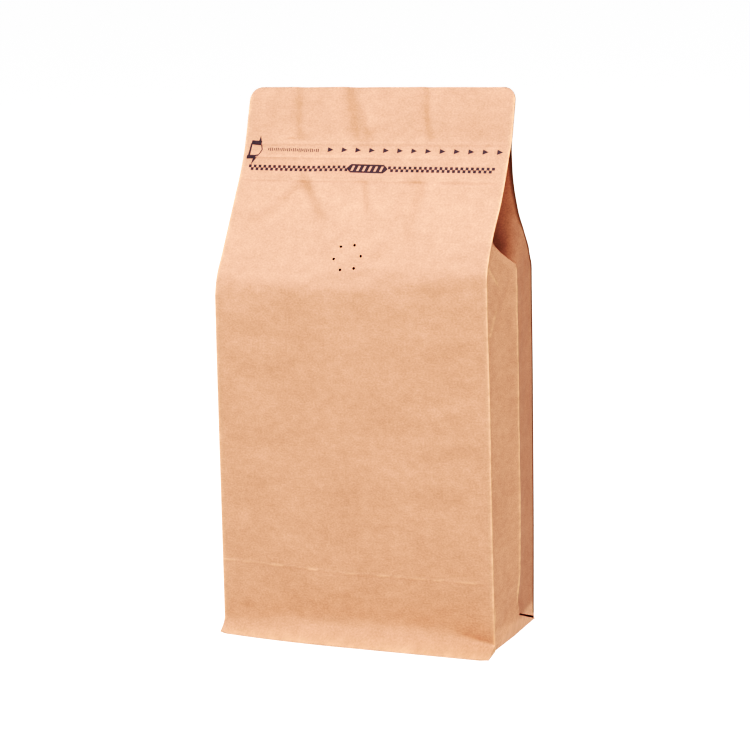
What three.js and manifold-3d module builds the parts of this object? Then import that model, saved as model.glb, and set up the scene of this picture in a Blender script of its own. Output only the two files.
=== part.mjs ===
// A filled flat-bottom coffee bag of kraft paper film, standing upright and shut.
//
// Millimetres, +Z up, front towards -Y. The bag has a front and a back panel, a gusset at each side,
// a flat base with a sealed lip that lies forwards on the floor, a flat sealed flap at the top and a
// one-way valve under six pinholes. The contents can't be seen, so the bag is one closed solid.
// The origin is the middle of the bag's box, on the floor.

import * as THREE from "three";
import { mergeVertices } from "three/addons/utils/BufferGeometryUtils.js";
import Module from "manifold-3d";

const wasm = await Module();
wasm.setup();

// ---------------------------------------------------------------- driving dimensions, mm

const BAG_WIDTH = 135; // across the panels, edge to edge
const HALF_WIDTH = BAG_WIDTH / 2;
const GUSSET_HALF = 32.5; // from an edge seam to the gusset's middle fold
const BASE_DEPTH = 58; // front seam to back seam on the floor
const SHOULDER_DEPTH = 65; // the same where the bag starts to lean in

const SHOULDER = 170; // height where the panels turn in
const CLOSED = 232; // height where front and back meet
const TOP = 255; // top edge at mid width
const TOP_TILT = 1 / 64; // the top edge rises a little towards +X
const FLAP_THICKNESS = 1.2;
const TOP_CORNER = 6; // radius of the flap's two corners

const FRONT_CROWN = 2.6; // how far a filled panel bows out at mid width
const BACK_CROWN = 3;
const BACK_PINCH = 3; // how far the back is drawn in behind the zip
const PINCH_HALF_WIDTH = 34; // the tucked gussets begin here

const RIDGE = 3.5; // how far the gusset's fold stands out past the edge seams
const RIDGE_ROUND = 1.4; // half width of the rounded fold
const FACET_HEIGHT = 10.7; // top of the small triangle under each gusset
const FACET_BACK_RISE = 1.9; // its back corner stays this far above the floor
const FIN_THICKNESS = 1; // sealed edge of panel and gusset
const FIN_WIDTH = 1.8; // how far that edge stands out of the gusset

const TUCK_START = 174; // the gusset's fold turns inwards here
const TUCK_FULL = 190; // and the tuck takes the gusset's whole depth here
const TUCK_SMALLEST_GAP = 0.8;
const TUCK_REACH = 12; // the tuck's cutter runs this far past the edge seams

const LIP_THICKNESS = 0.8;
const LIP_RISE_LEFT = 7.5; // height over which the front panel curves out into the lip, at each end
const LIP_RISE_RIGHT = 4;
const LIP_CURVE = 2.8;
const LIP_FRONT = -43.4; // the lip's front edge at mid width
const LIP_LEFT_SETBACK = 5.4; // the edge runs back towards the left end
const LIP_RIGHT_ADVANCE = 0.6;
const LIP_CORNER_CUT = 1.4;
const LIP_SPREAD = 1.7; // how far the lip's right end reaches past the edge seam

const ZIP_LINES = [213.2, 223.4]; // heights of the two ribs that the zip presses into the front
const ZIP_RIB = 0.45;
const ZIP_RIB_HALF_WIDTH = 0.8;
const ZIP_LINE_HALF_LENGTH = 62;

const VALVE = { x: -1.9, z: 180.7, turn: THREE.MathUtils.degToRad(8.8) };
const PINHOLE_CIRCLE = 6.8; // radius of the ring of pinholes
const PINHOLE_COUNT = 6;
const PINHOLE_RADIUS = 0.55;
const PINHOLE_DEPTH = 1.5;
const PINHOLE_SIDES = 8;

const FRONT_STEPS = 18;
const BACK_STEPS = 12;
const WEB_STEPS = 3; // steps from an edge seam to the gusset's fold
const TUCK_STEPS = 29;

// The edge seams seen from the side, as [height, y]. The top has twisted: its left end lies further back.
const FRONT_RIGHT_SEAM = [
  [0, -28.5],
  [60, -30.8],
  [120, -32.1],
  [165, -34],
  [174, -33.7],
  [182, -31.1],
  [191, -25.3],
  [207, -11.8],
  [220, -3.8],
  [CLOSED, 3.3],
  [240, 4.6],
  [TOP + 1, 9.2],
];
const FRONT_LEFT_SEAM = [
  [0, -31.2],
  [60, -31.3],
  [120, -31.4],
  [160, -30.8],
  [168, -28.7],
  [181, -20.8],
  [203, -6.5],
  [220, 4.2],
  [CLOSED, 9.6],
  [240, 11.6],
  [TOP + 1, 16.8],
];
// Front seam to back seam at the same height.
const SEAM_DEPTH = [
  [0, BASE_DEPTH],
  [60, 61.8],
  [107, 63],
  [SHOULDER, SHOULDER_DEPTH],
  [179, 59.6],
  [189, 46.5],
  [199.6, 29.3],
  [209, 17],
  [219, 8.3],
  [CLOSED, FLAP_THICKNESS],
  [TOP + 1, FLAP_THICKNESS],
];

// ---------------------------------------------------------------- curves

const clamp01 = (value) => Math.min(1, Math.max(0, value));
const smooth = (value) => clamp01(value) ** 2 * (3 - 2 * clamp01(value));
const mix = (from, to, share) => from + (to - from) * share;

// A smooth curve through stations [height, value] that never overshoots between two of them.
function through(stations) {
  const count = stations.length;
  const slopes = [];
  for (let i = 0; i + 1 < count; i++) {
    slopes.push((stations[i + 1][1] - stations[i][1]) / (stations[i + 1][0] - stations[i][0]));
  }
  const tangents = stations.map((_, i) => {
    const before = slopes[Math.max(0, i - 1)];
    const after = slopes[Math.min(count - 2, i)];
    return before * after <= 0 ? 0 : (2 * before * after) / (before + after);
  });
  return (height) => {
    let i = 0;
    while (i < count - 2 && height > stations[i + 1][0]) i++;
    const span = stations[i + 1][0] - stations[i][0];
    const t = clamp01((height - stations[i][0]) / span);
    const rise = stations[i][1] * (1 + 2 * t) * (1 - t) ** 2 + stations[i + 1][1] * t ** 2 * (3 - 2 * t);
    const lean = tangents[i] * t * (1 - t) ** 2 - tangents[i + 1] * t ** 2 * (1 - t);
    return rise + lean * span;
  };
}

const frontRight = through(FRONT_RIGHT_SEAM);
const frontLeft = through(FRONT_LEFT_SEAM);
const seamDepth = through(SEAM_DEPTH);

// A filled panel is fullest at mid width and half height, and flat at its seams, base and flap.
const across = (x) => 1 - (x / HALF_WIDTH) ** 2;
const frontCrown = through([
  [0, 0.8],
  [40, FRONT_CROWN],
  [140, FRONT_CROWN],
  [200, 0.8],
  [CLOSED, 0],
  [TOP, 0],
]);
const backCrown = through([
  [0, 1],
  [40, BACK_CROWN],
  [140, BACK_CROWN],
  [190, 0],
  [TOP, 0],
]);
const backPinch = through([
  [0, 0],
  [190, 0],
  [217, BACK_PINCH],
  [CLOSED, 0],
  [TOP, 0],
]);

// The zip's two ribs, which fade out before the edge seams.
function zipRelief(x, z) {
  const end = clamp01((ZIP_LINE_HALF_LENGTH - Math.abs(x)) / 4);
  return ZIP_LINES.reduce((sum, height) => {
    return sum + ZIP_RIB * end * clamp01(1 - Math.abs(z - height) / ZIP_RIB_HALF_WIDTH);
  }, 0);
}

const seamFront = (x, z) => mix(frontLeft(z), frontRight(z), (x + HALF_WIDTH) / BAG_WIDTH);

// The lip's front edge on the floor.
function lipEdge(x) {
  const share = x / HALF_WIDTH;
  const end = smooth((Math.abs(share) - 0.94) / 0.06) * LIP_CORNER_CUT;
  return share < 0
    ? LIP_FRONT + LIP_LEFT_SETBACK * share ** 2 + end
    : LIP_FRONT - LIP_RIGHT_ADVANCE * share + end;
}

// How far the front panel has curved out into the lip, from 0 on the panel to 1 at the lip's edge.
function lipFlare(x, z) {
  const rise = mix(LIP_RISE_LEFT, LIP_RISE_RIGHT, (x + HALF_WIDTH) / BAG_WIDTH);
  return clamp01(1 - (z - LIP_THICKNESS) / rise) ** LIP_CURVE;
}

function frontY(x, z) {
  const panel = seamFront(x, z) - frontCrown(z) * across(x) - zipRelief(x, z);
  return mix(panel, lipEdge(x), lipFlare(x, z));
}

function backY(x, z) {
  const pinch = backPinch(z) * clamp01(1 - (x / PINCH_HALF_WIDTH) ** 2) ** 2;
  return seamFront(x, z) + seamDepth(z) + backCrown(z) * across(x) - pinch;
}

// ---------------------------------------------------------------- one level of the bag

// The panels' half width, which the flap's round corners narrow.
function halfWidthAt(z) {
  const above = z - (TOP - TOP_CORNER);
  return above <= 0 ? HALF_WIDTH : HALF_WIDTH - TOP_CORNER + Math.sqrt(TOP_CORNER ** 2 - above ** 2);
}

const finWidth = through([
  [0, 0.6],
  [25, FIN_WIDTH],
  [TUCK_START, FIN_WIDTH],
  [TUCK_FULL, 0],
  [TOP, 0],
]);

// How far the gusset's fold stands out past the edge seams. It fades where the tuck cuts it away.
const ridgeAt = through([
  [0, 0.3],
  [FACET_HEIGHT, 2.4],
  [17, 1.5],
  [30, 3],
  [65, RIDGE],
  [TUCK_START, RIDGE],
  [TUCK_FULL, 2],
  [CLOSED, 0],
  [TOP, 0],
]);

// One side from the front fin to the back fin, as [x, y] for the right side. The left side mirrors x.
function sidePoints(z, front, depth) {
  const edge = halfWidthAt(z);
  const fin = Math.min(FIN_THICKNESS, depth / 4);
  const root = edge - finWidth(z);
  const ridge = edge + ridgeAt(z);
  const middle = front + depth / 2;
  const round = Math.min(RIDGE_ROUND, depth / 8);
  const rounding = 0.25 * clamp01(z / FACET_HEIGHT) * clamp01(depth / 10);
  // One web from its fin to the fold, in distances from the fold. Under the fold the small triangle
  // spreads to the corner of the base, where it ends at the height cornerRise.
  const web = (cornerRise) => {
    const opened = clamp01((FACET_HEIGHT - z) / (FACET_HEIGHT - cornerRise));
    const shoulder = Math.max(opened * (depth / 2 - 2 * fin), round);
    const points = [[edge, depth / 2 - fin]];
    for (let step = 0; step < WEB_STEPS; step++) {
      const share = step / WEB_STEPS;
      points.push([mix(root, ridge, share ** 0.9), mix(depth / 2 - fin * 1.2, shoulder, share)]);
    }
    points.push([ridge - rounding, shoulder]);
    return points;
  };
  const frontWeb = web(0).map(([x, distance]) => [x, middle - distance]);
  const backWeb = web(FACET_BACK_RISE).map(([x, distance]) => [x, middle + distance]);
  return [...frontWeb, [ridge, middle], ...backWeb.reverse()];
}

function level(z) {
  const edge = halfWidthAt(z);
  const tilt = (x) => z + TOP_TILT * x * smooth((z - SHOULDER) / (TOP - SHOULDER));
  const points = [];
  for (let i = 0; i <= FRONT_STEPS; i++) {
    const x = mix(-edge, edge, i / FRONT_STEPS);
    points.push([x + LIP_SPREAD * clamp01(x / HALF_WIDTH) * lipFlare(x, z), frontY(x, z)]);
  }
  const depth = seamDepth(z);
  points.push(...sidePoints(z, seamFront(edge, z), depth));
  for (let i = 0; i <= BACK_STEPS; i++) {
    const x = mix(edge, -edge, i / BACK_STEPS);
    points.push([x, backY(x, z)]);
  }
  const left = sidePoints(z, seamFront(-edge, z), depth).map(([x, y]) => [-x, y]);
  points.push(...left.reverse());
  return points.map(([x, y]) => new THREE.Vector3(x, y, tilt(x)));
}

// The heights of the levels: close together where the bag bends, and far apart where it is straight.
function levelHeights() {
  const heights = [0, LIP_THICKNESS, 1.3, FACET_BACK_RISE, 2.6, 3.5, 4.7, 6.2, 8.4, FACET_HEIGHT];
  const ranges = [
    [15, 45, 10],
    [55, 150, 12],
    [158, 190, 3.2],
    [193, 211, 3.6],
    [217, CLOSED, 3.6],
    [236, TOP - TOP_CORNER, 4.3],
  ];
  for (const [from, to, step] of ranges) {
    const count = Math.round((to - from) / step);
    for (let i = 0; i <= count; i++) {
      heights.push(mix(from, to, i / count));
    }
  }
  for (const height of ZIP_LINES) {
    heights.push(height - ZIP_RIB_HALF_WIDTH, height, height + ZIP_RIB_HALF_WIDTH);
  }
  for (const turn of [30, 52, 70, 82]) {
    heights.push(TOP - TOP_CORNER + TOP_CORNER * Math.sin(THREE.MathUtils.degToRad(turn)));
  }
  return heights.sort((a, b) => a - b);
}

// ---------------------------------------------------------------- solids

// Closes a stack of rings, each turning anticlockwise seen from above, into one solid.
function loft(rings) {
  const size = rings[0].length;
  const positions = rings.flat().flatMap((point) => point.toArray());
  const faces = [];
  for (let ring = 0; ring + 1 < rings.length; ring++) {
    for (let i = 0; i < size; i++) {
      const a = ring * size + i;
      const b = ring * size + ((i + 1) % size);
      faces.push(a, b, b + size, a, b + size, a + size);
    }
  }
  const cap = (ring) => {
    const outline = ring.map((point) => new THREE.Vector2(point.x, point.y));
    return THREE.ShapeUtils.triangulateShape(outline, []);
  };
  const last = (rings.length - 1) * size;
  cap(rings[0]).forEach(([a, b, c]) => faces.push(a, c, b));
  cap(rings.at(-1)).forEach(([a, b, c]) => faces.push(last + a, last + b, last + c));
  const geometry = new THREE.BufferGeometry();
  geometry.setAttribute("position", new THREE.Float32BufferAttribute(positions, 3));
  geometry.setIndex(faces);
  return geometry;
}

function toSolid(geometry) {
  const bare = geometry.clone();
  bare.deleteAttribute("normal");
  bare.deleteAttribute("uv");
  const merged = mergeVertices(bare, 1e-4);
  const vertProperties = new Float32Array(merged.attributes.position.array);
  const triVerts = new Uint32Array(merged.index.array);
  return new wasm.Manifold(new wasm.Mesh({ numProp: 3, vertProperties, triVerts }));
}

function toGeometry(solid) {
  const mesh = solid.getMesh();
  const geometry = new THREE.BufferGeometry();
  geometry.setAttribute("position", new THREE.BufferAttribute(mesh.vertProperties, 3));
  geometry.setIndex(new THREE.BufferAttribute(mesh.triVerts, 1));
  return geometry;
}

// The space of one tucked gusset. Its floor rises from the end of the fold to the two edge seams, and
// its inner corner is the gusset's middle fold. side is 1 for the right gusset and -1 for the left.
function tuck(side) {
  const rings = [];
  const edge = HALF_WIDTH;
  const foldEnd = seamFront(side * edge, TUCK_START) + seamDepth(TUCK_START) / 2;
  const frontEnd = seamFront(side * edge, TUCK_FULL) + FIN_THICKNESS;
  const backEnd = frontEnd + seamDepth(TUCK_FULL) - 2 * FIN_THICKNESS;
  for (let step = 0; step <= TUCK_STEPS; step++) {
    const z = mix(TUCK_START, CLOSED, step / TUCK_STEPS);
    const front = seamFront(side * edge, z) + FIN_THICKNESS;
    const gap = seamDepth(z) - 2 * FIN_THICKNESS;
    if (gap < TUCK_SMALLEST_GAP) break;
    const back = front + gap;
    const middle = (front + back) / 2;
    const opened = clamp01((z - TUCK_START) / (TUCK_FULL - TUCK_START));
    const inner = edge - Math.sqrt(Math.max(0, GUSSET_HALF ** 2 - (seamDepth(z) / 2) ** 2));
    const innerFull = edge - Math.sqrt(GUSSET_HALF ** 2 - (seamDepth(TUCK_FULL) / 2) ** 2);
    const fold = opened < 1 ? mix(edge + RIDGE, innerFull, opened) : inner;
    const mouthX = mix(edge + RIDGE, edge - FIN_WIDTH, opened);
    const spread = Math.max(0.02, opened);
    const mouthFront = opened < 1 ? mix(foldEnd, frontEnd, spread) : front;
    const mouthBack = opened < 1 ? mix(foldEnd, backEnd, spread) : back;
    const ring = [
      [fold - 0.01, opened < 1 ? (mouthFront + mouthBack) / 2 : middle],
      [mouthX, mouthFront],
      [edge + TUCK_REACH, mouthFront],
      [edge + TUCK_REACH, mouthBack],
      [mouthX, mouthBack],
    ].map(([x, y]) => new THREE.Vector3(side * x, y, z));
    rings.push(side > 0 ? ring : ring.reverse());
  }
  return toSolid(loft(rings));
}

// Six blind pinholes in a ring over the valve, square to the front panel.
function pinholes() {
  const step = 1;
  const centre = new THREE.Vector3(VALVE.x, frontY(VALVE.x, VALVE.z), VALVE.z);
  const above = new THREE.Vector3(VALVE.x, frontY(VALVE.x, VALVE.z + step), VALVE.z + step);
  const beside = new THREE.Vector3(VALVE.x + step, frontY(VALVE.x + step, VALVE.z), VALVE.z);
  const up = above.sub(centre).normalize();
  const right = beside.sub(centre).normalize();
  const outward = new THREE.Vector3().crossVectors(right, up).normalize();
  const holes = [];
  for (let i = 0; i < PINHOLE_COUNT; i++) {
    const angle = VALVE.turn + (i * 2 * Math.PI) / PINHOLE_COUNT;
    const flat = centre.clone();
    flat.addScaledVector(right, PINHOLE_CIRCLE * Math.cos(angle));
    flat.addScaledVector(up, PINHOLE_CIRCLE * Math.sin(angle));
    const place = new THREE.Vector3(flat.x, frontY(flat.x, flat.z), flat.z);
    const drill = new THREE.CylinderGeometry(
      PINHOLE_RADIUS,
      PINHOLE_RADIUS,
      2 * PINHOLE_DEPTH,
      PINHOLE_SIDES,
    );
    drill.applyQuaternion(new THREE.Quaternion().setFromUnitVectors(new THREE.Vector3(0, 1, 0), outward));
    drill.translate(place.x, place.y, place.z);
    holes.push(toSolid(drill));
  }
  return holes;
}

function bagSolid() {
  let solid = toSolid(loft(levelHeights().map(level)));
  for (const cutter of [tuck(1), tuck(-1), ...pinholes()]) {
    solid = solid.subtract(cutter);
  }
  return solid;
}

// ---------------------------------------------------------------- the part

const kraft = new THREE.MeshStandardMaterial({ color: 0xd9a77c, roughness: 0.82, metalness: 0 });

const shape = toGeometry(bagSolid());
shape.computeBoundingBox();
const box = shape.boundingBox;
shape.translate(-(box.min.x + box.max.x) / 2, -(box.min.y + box.max.y) / 2, -box.min.z);
shape.computeVertexNormals();

const bag = new THREE.Mesh(shape, kraft);
bag.name = "bag";

const part = new THREE.Group();
part.name = "coffee_bag";
part.add(bag);

export default part;
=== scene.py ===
"""A filled flat-bottom coffee bag of kraft paper film, standing shut on a pale floor.

The paper is one lofted shell: a front and a back panel, a folded gusset at each side with its reverse
fold under the flap, a flat base and the sealed lip that lies forwards on the floor. The print of the
zip band is thin ink laid on that shell. Lengths are in millimetres in the shape functions, with the
front towards -Y, and are put in the frame's metres when a mesh is filled in.
"""

import math

import bpy
import numpy as np
from bpy.props import FloatProperty, FloatVectorProperty, IntProperty, PointerProperty
from mathutils import Matrix, Vector


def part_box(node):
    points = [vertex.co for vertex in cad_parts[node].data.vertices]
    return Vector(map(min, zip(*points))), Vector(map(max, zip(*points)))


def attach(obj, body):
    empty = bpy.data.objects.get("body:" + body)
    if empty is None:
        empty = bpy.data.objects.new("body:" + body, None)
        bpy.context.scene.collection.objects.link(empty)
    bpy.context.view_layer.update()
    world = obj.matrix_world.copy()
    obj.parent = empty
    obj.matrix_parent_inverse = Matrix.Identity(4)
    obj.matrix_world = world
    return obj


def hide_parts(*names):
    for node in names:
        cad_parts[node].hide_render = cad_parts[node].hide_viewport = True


bl_info = {
    "name": "Coffee Bag with Valve",
    "version": (1, 0, 0),
    "blender": (4, 5, 0),
    "location": "3D View > Sidebar > Coffee Bag",
    "description": "Builds a filled kraft paper coffee bag, its zip band print and a studio stage",
    "category": "Add Mesh",
}

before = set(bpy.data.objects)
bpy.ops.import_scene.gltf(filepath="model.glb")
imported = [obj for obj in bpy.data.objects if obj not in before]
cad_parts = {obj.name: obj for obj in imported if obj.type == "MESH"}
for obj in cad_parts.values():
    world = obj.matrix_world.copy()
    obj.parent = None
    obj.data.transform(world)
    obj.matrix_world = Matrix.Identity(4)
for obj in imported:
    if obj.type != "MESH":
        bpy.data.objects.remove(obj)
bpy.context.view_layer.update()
BAG_NODE = "bag"
BAG_PIECE = "bag_paper"

MM = 0.001
CAD_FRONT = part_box(BAG_NODE)[0][1] / MM  # y of the solid's foremost edge

# ---------------------------------------------------------------- driving dimensions, mm

HALF_WIDTH = 67.5
GUSSET_HALF = 32.5  # from an edge seam to the gusset's middle fold
SHOULDER = 170.0  # height where the panels turn in
CLOSED = 232.0  # height where front and back meet
TOP = 255.0  # top edge at mid width
TOP_TILT = 1 / 64  # the top edge rises a little towards +X
TOP_CORNER = 6.0
FILM = 0.55  # thickness of a sealed edge, of the flap and of the lip
FILM_ROOM = 3.2  # where the seams meet, a sealed edge takes one part in this of the gap
FIN_WIDTH = 0.5  # how far the front's sealed edges stand out of the gussets
EDGE_ROUND = 0.15  # the back's sealed edges are bent round instead
SEAM_FADE = 9.0  # dents end this far from a seam

RIDGE = 3.5  # how far the gusset's fold stands out past the edge seams
RIDGE_ROUND = 0.7
PINCH = 0.9  # how far the gusset's crease is nipped outwards
PINCH_REACH = 7.5
FLAP_FOLD_INSET = 0.9  # the gusset ends this far inside the flap's edge
TUCK_START = 176.5  # the gusset's fold turns inwards here
TUCK_FULL = 188.5  # height at the seams of the row whose fold starts the tuck
TUCK_DIVE = 4.5  # the fold is wholly drawn in this far above its start
TUCK_SOFT_ROWS = 14

FACET_HEIGHT = 10.7  # top of the small triangle under each gusset
FACET_BACK_RISE = 1.5  # its back corner stays this far above the floor
FACET_SLIT = 4.0  # depth of the open slit over the triangle's back edge
FACET_BACK_SPREAD = 0.4  # the triangle's back corner stands out sideways
LIP_FRONT = -43.4  # y of the lip's edge at mid width
LIP_LEFT_SETBACK = 5.4
LIP_RIGHT_ADVANCE = 0.6
LIP_SPREAD = 1.7
LIP_CURVE = 2.9
LIP_CORNER = 1.4
BASE_RECESS = 0.9
FLOOR_FADE = 4.0  # the panels' relief ends this near the floor

BOTTOM_CREASE = 33.0  # the faint crease across the front, over the base
CREASE_RISE = 0.13
ZIP_LINES = (213.2, 223.4, 229.4)  # heights of the lines that the zip and its seals press in
ZIP_LINE_RISE = 0.3
ZIP_LINE_HALF = 0.9
ZIP_BAND_RISE = 0.28
ZIP_BAND_EDGE = 1.2
FLAP_FOLLOW = (224.0, 8.0)  # over this stretch the back comes to lie on the front, and takes its folds
VALVE = (-1.9, 180.7)
VALVE_TURN = math.radians(8.8)
VALVE_RADIUS = 11.0  # the valve's disc behind the paper
VALVE_RISE = 0.1
PINHOLE_CIRCLE = 6.8
PINHOLE_RADIUS = 0.58
PINHOLE_DEPTH = 1.5
PINHOLE_COUNT = 6

# The shape functions measure y from midway between the seams at the base. The lip's edge lies a hair
# inside the solid's.
ROW_SHIFT = CAD_FRONT - (LIP_FRONT - LIP_RIGHT_ADVANCE) - 0.04

# Edge seams seen from the side, as (height, y). The top has twisted: its left end lies further back.
FRONT_RIGHT_SEAM = (
    (0, -28.5),
    (60, -30.8),
    (120, -32.1),
    (165, -34),
    (174, -33.9),
    (182, -31),
    (191, -25.3),
    (207, -11.8),
    (220, -3.8),
    (CLOSED, 3),
    (240, 5.5),
    (TOP + 1, 10.4),
)
FRONT_LEFT_SEAM = (
    (0, -31.2),
    (60, -31.3),
    (120, -31.4),
    (160, -31.1),
    (168, -29.2),
    (181, -20.9),
    (203, -6.5),
    (220, 4.2),
    (CLOSED, 9.5),
    (240, 12.1),
    (TOP + 1, 17.6),
)
SEAM_DEPTH = (
    (0, 58),
    (60, 61.8),
    (107, 63),
    (SHOULDER, 65),
    (179, 59.6),
    (189, 46.5),
    (199.6, 29.3),
    (209, 17),
    (219, 8.3),
    (CLOSED, 2 * FILM),
    (TOP + 1, 2 * FILM),
)


STEP_ASIDE = 0.75  # a step's two folds lie this share of their half width to each side of its line
STEEP = 0.3  # a line that runs aside less than this share of its climb counts as upright


def soft_step(x_start, z_start, x_end, z_end, half_width, rise):
    """Two folds along a line, so that the paper steps outwards above it, or right of an upright one."""
    run, climb = x_end - x_start, z_end - z_start
    aside = STEP_ASIDE * half_width / math.hypot(run, climb)
    dx, dz = climb * aside, -run * aside
    if dz + STEEP * dx < 0:
        dx, dz = -dx, -dz
    return (
        (x_start + dx, z_start + dz, x_end + dx, z_end + dz, half_width, rise / 2),
        (x_start - dx, z_start - dz, x_end - dx, z_end - dz, half_width, -rise / 2),
    )


# Soft folds and dents of the front panel, each along a line, as (x, z of one end, x, z of the other,
# half width, depth outwards). A fold that stands out is light above and dark below.
FRONT_FOLDS = (
    # flutes of the flap
    *soft_step(-41.7, 256, -40.2, 235, 3.6, 2.4),
    *soft_step(-16, 256, -10.5, 236, 5.5, 3.6),
    *soft_step(-6.5, 243, -5, 236.5, 2.2, 1.0),
    *soft_step(23, 256, 25.8, 235.5, 3.2, 2.2),
    (-52, 252, -51, 238, 5, -0.6),
    (52, 254, 53, 238, 6, 0.6),
    # short folds under the zip band
    *soft_step(-35.5, 210, -52.2, 196.8, 3.8, 2.0),
    *soft_step(-33, 213, -20, 198, 4, 2.3),
    *soft_step(-1.3, 211.5, 2.5, 200.8, 2.8, 2.0),
    *soft_step(27.2, 210, 24.9, 194, 5, 4.0),
    *soft_step(24.9, 194, 11.5, 182.6, 4.4, 2.2),
    *soft_step(16.9, 199.2, 4.2, 190.3, 3, 1.3),
    *soft_step(-64, 196, -52.2, 193, 4.4, 1.0),
    (-38.4, 202, -40, 180, 5, -0.7),
    (-2, 172, 6, 172.5, 4, -0.2),
    # the shoulder's bend
    (-62, 169.5, -30, 167.3, 4, 0.45),
    (-30, 167.3, 8, 167, 4, 0.4),
    (8, 167, 40, 171, 4, 0.4),
    (40, 171, 62, 174.5, 4, 0.45),
    (20, 160.5, 56, 163, 4, 0.22),
    # dents near the left seam
    (-62, 161, -44, 160, 3.6, -0.28),
    (-61, 153, -46, 152, 4.2, 0.26),
    (-60, 144, -38, 144.5, 3.8, -0.34),
    (-60, 136.5, -42, 136, 3.8, 0.34),
    (-58, 125, -40, 123, 4.4, -0.34),
    (-60, 104, -44, 106, 5, 0.3),
    (-60, 91, -36, 89.5, 3.4, -0.36),
    (-58, 77, -44, 75, 4.4, 0.3),
    (-60, 62, -42, 61, 4, -0.34),
    (-58, 49, -46, 50, 4, 0.22),
    # dents near the right seam
    (38, 148, 61, 151.5, 3.6, -0.34),
    (46, 144, 60, 143, 2.8, 0.22),
    (36, 136, 60, 138, 3.4, -0.32),
    (34, 121, 52, 124, 5, 0.26),
    (36, 110, 60, 113, 3, 0.26),
    (34, 101.5, 60, 106, 3.4, -0.38),
    (44, 96, 62, 98, 2.4, 0.26),
    (36, 87, 60, 91, 3, -0.38),
    (36, 76, 60, 80, 3.8, 0.32),
    (34, 67, 56, 68, 3.6, -0.3),
    (40, 41, 58, 41, 4, 0.2),
    # slow waves of the middle
    (-30, 154, 14, 150, 6, -0.3),
    (-20, 120, 28, 126, 8, 0.26),
    (-34, 98, 8, 92, 7, -0.26),
    (-12, 72, 30, 78, 7, 0.22),
    (-38, 50, 0, 48, 6, -0.2),
    (8, 46, 40, 48, 5, 0.18),
    # pinched spots just over the lip
    (-63, 10.5, -55, 12.5, 2.2, -0.3),
    (-58, 8, -48, 9, 1.8, 0.2),
    (53, 6.6, 61, 4, 1.8, -0.15),
    (40, 9, 60, 7, 2.4, 0.2),
)

# The same for the back panel.
BACK_FOLDS = (
    (-60, 148, -36, 151, 4.4, -0.34),
    (-60, 131, -40, 128, 4.2, 0.3),
    (-60, 95, -32, 98, 4.4, -0.32),
    (-60, 70, -42, 68, 4, 0.26),
    (40, 154, 61, 150, 4.2, -0.34),
    (34, 120, 60, 123, 4.6, 0.3),
    (40, 93, 61, 90, 4, -0.32),
    (34, 58, 58, 60, 4.4, 0.26),
    (-24, 116, 24, 122, 8, 0.34),
    (-30, 62, 14, 56, 7, -0.3),
    (-34, 212, -44, 198, 3, -0.38),
    (4, 212, 5, 198, 3, -0.32),
    (36, 212, 45, 198, 3, -0.38),
    (-22, 253, -22, 238, 3.6, 0.4),
    (30, 253, 31, 238, 3.6, 0.4),
)

# Folds of a gusset's half, as (distance from its seam, z) at both ends, half width and depth outwards.
GUSSET_FOLDS = (
    (2.5, 177.5, 12.5, 167, 0.9, 0.42),
    (5, 179, 15, 169, 1.6, -0.3),
    (9.5, 157, 4, 146, 1.1, 0.34),
    (4, 146, 3.4, 128, 1.4, 0.22),
    (25.5, 171, 14, 152, 2.2, -0.42),
    (12, 166, 10, 150, 2.6, -0.2),
    (20, 150, 27, 128, 3, 0.24),
    (12, 128, 15, 106, 3.4, -0.26),
    (8, 96, 12, 76, 3.2, 0.22),
    (20, 76, 17, 52, 3.2, -0.24),
    (2.6, 27, 7, 10, 1, 0.4),
    (18, 40, 20, 22, 3, -0.24),
)

# Sharp creases of a gusset's front half, scuffed pale and painted as highlights, in the same terms, with a
# share of paleness.
GUSSET_CREASES = (
    (1.2, 179, 12.6, 170, 0.5, 0.9),
    (10.6, 157.4, 4, 148, 0.6, 0.5),
    (0.6, 28, 1.2, 21.7, 0.45, 0.6),
    (1.2, 21.7, 3.4, 9, 0.45, 0.6),
)


# ---------------------------------------------------------------- curves


def clamp01(value):
    return np.clip(value, 0.0, 1.0)


def smooth(value):
    share = clamp01(value)
    return share**2 * (3 - 2 * share)


def rising(value, start, length):
    """0 up to start, then smoothly to 1 over length."""
    return smooth((value - start) / length)


def falling(value, end, length):
    """1 until length before end, and 0 from end on."""
    return smooth((end - value) / length)


def mix(start, end, share):
    return start + (end - start) * share


def through(stations):
    """A smooth curve through (height, value) stations that never overshoots between two of them."""
    height, value = np.array(stations, float).T
    slope = np.diff(value) / np.diff(height)
    before = np.concatenate([slope[:1], slope])
    after = np.concatenate([slope, slope[-1:]])
    same_way = before * after > 0
    total = np.where(same_way, before + after, 1)
    tangent = np.where(same_way, 2 * before * after / total, 0)

    def curve(z):
        i = np.clip(np.searchsorted(height, z, side="right") - 1, 0, len(slope) - 1)
        span = height[i + 1] - height[i]
        t = clamp01((z - height[i]) / span)
        rise = value[i] * (1 + 2 * t) * (1 - t) ** 2 + value[i + 1] * t**2 * (3 - 2 * t)
        lean = tangent[i] * t * (1 - t) ** 2 - tangent[i + 1] * t**2 * (1 - t)
        return rise + lean * span

    return curve


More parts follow.
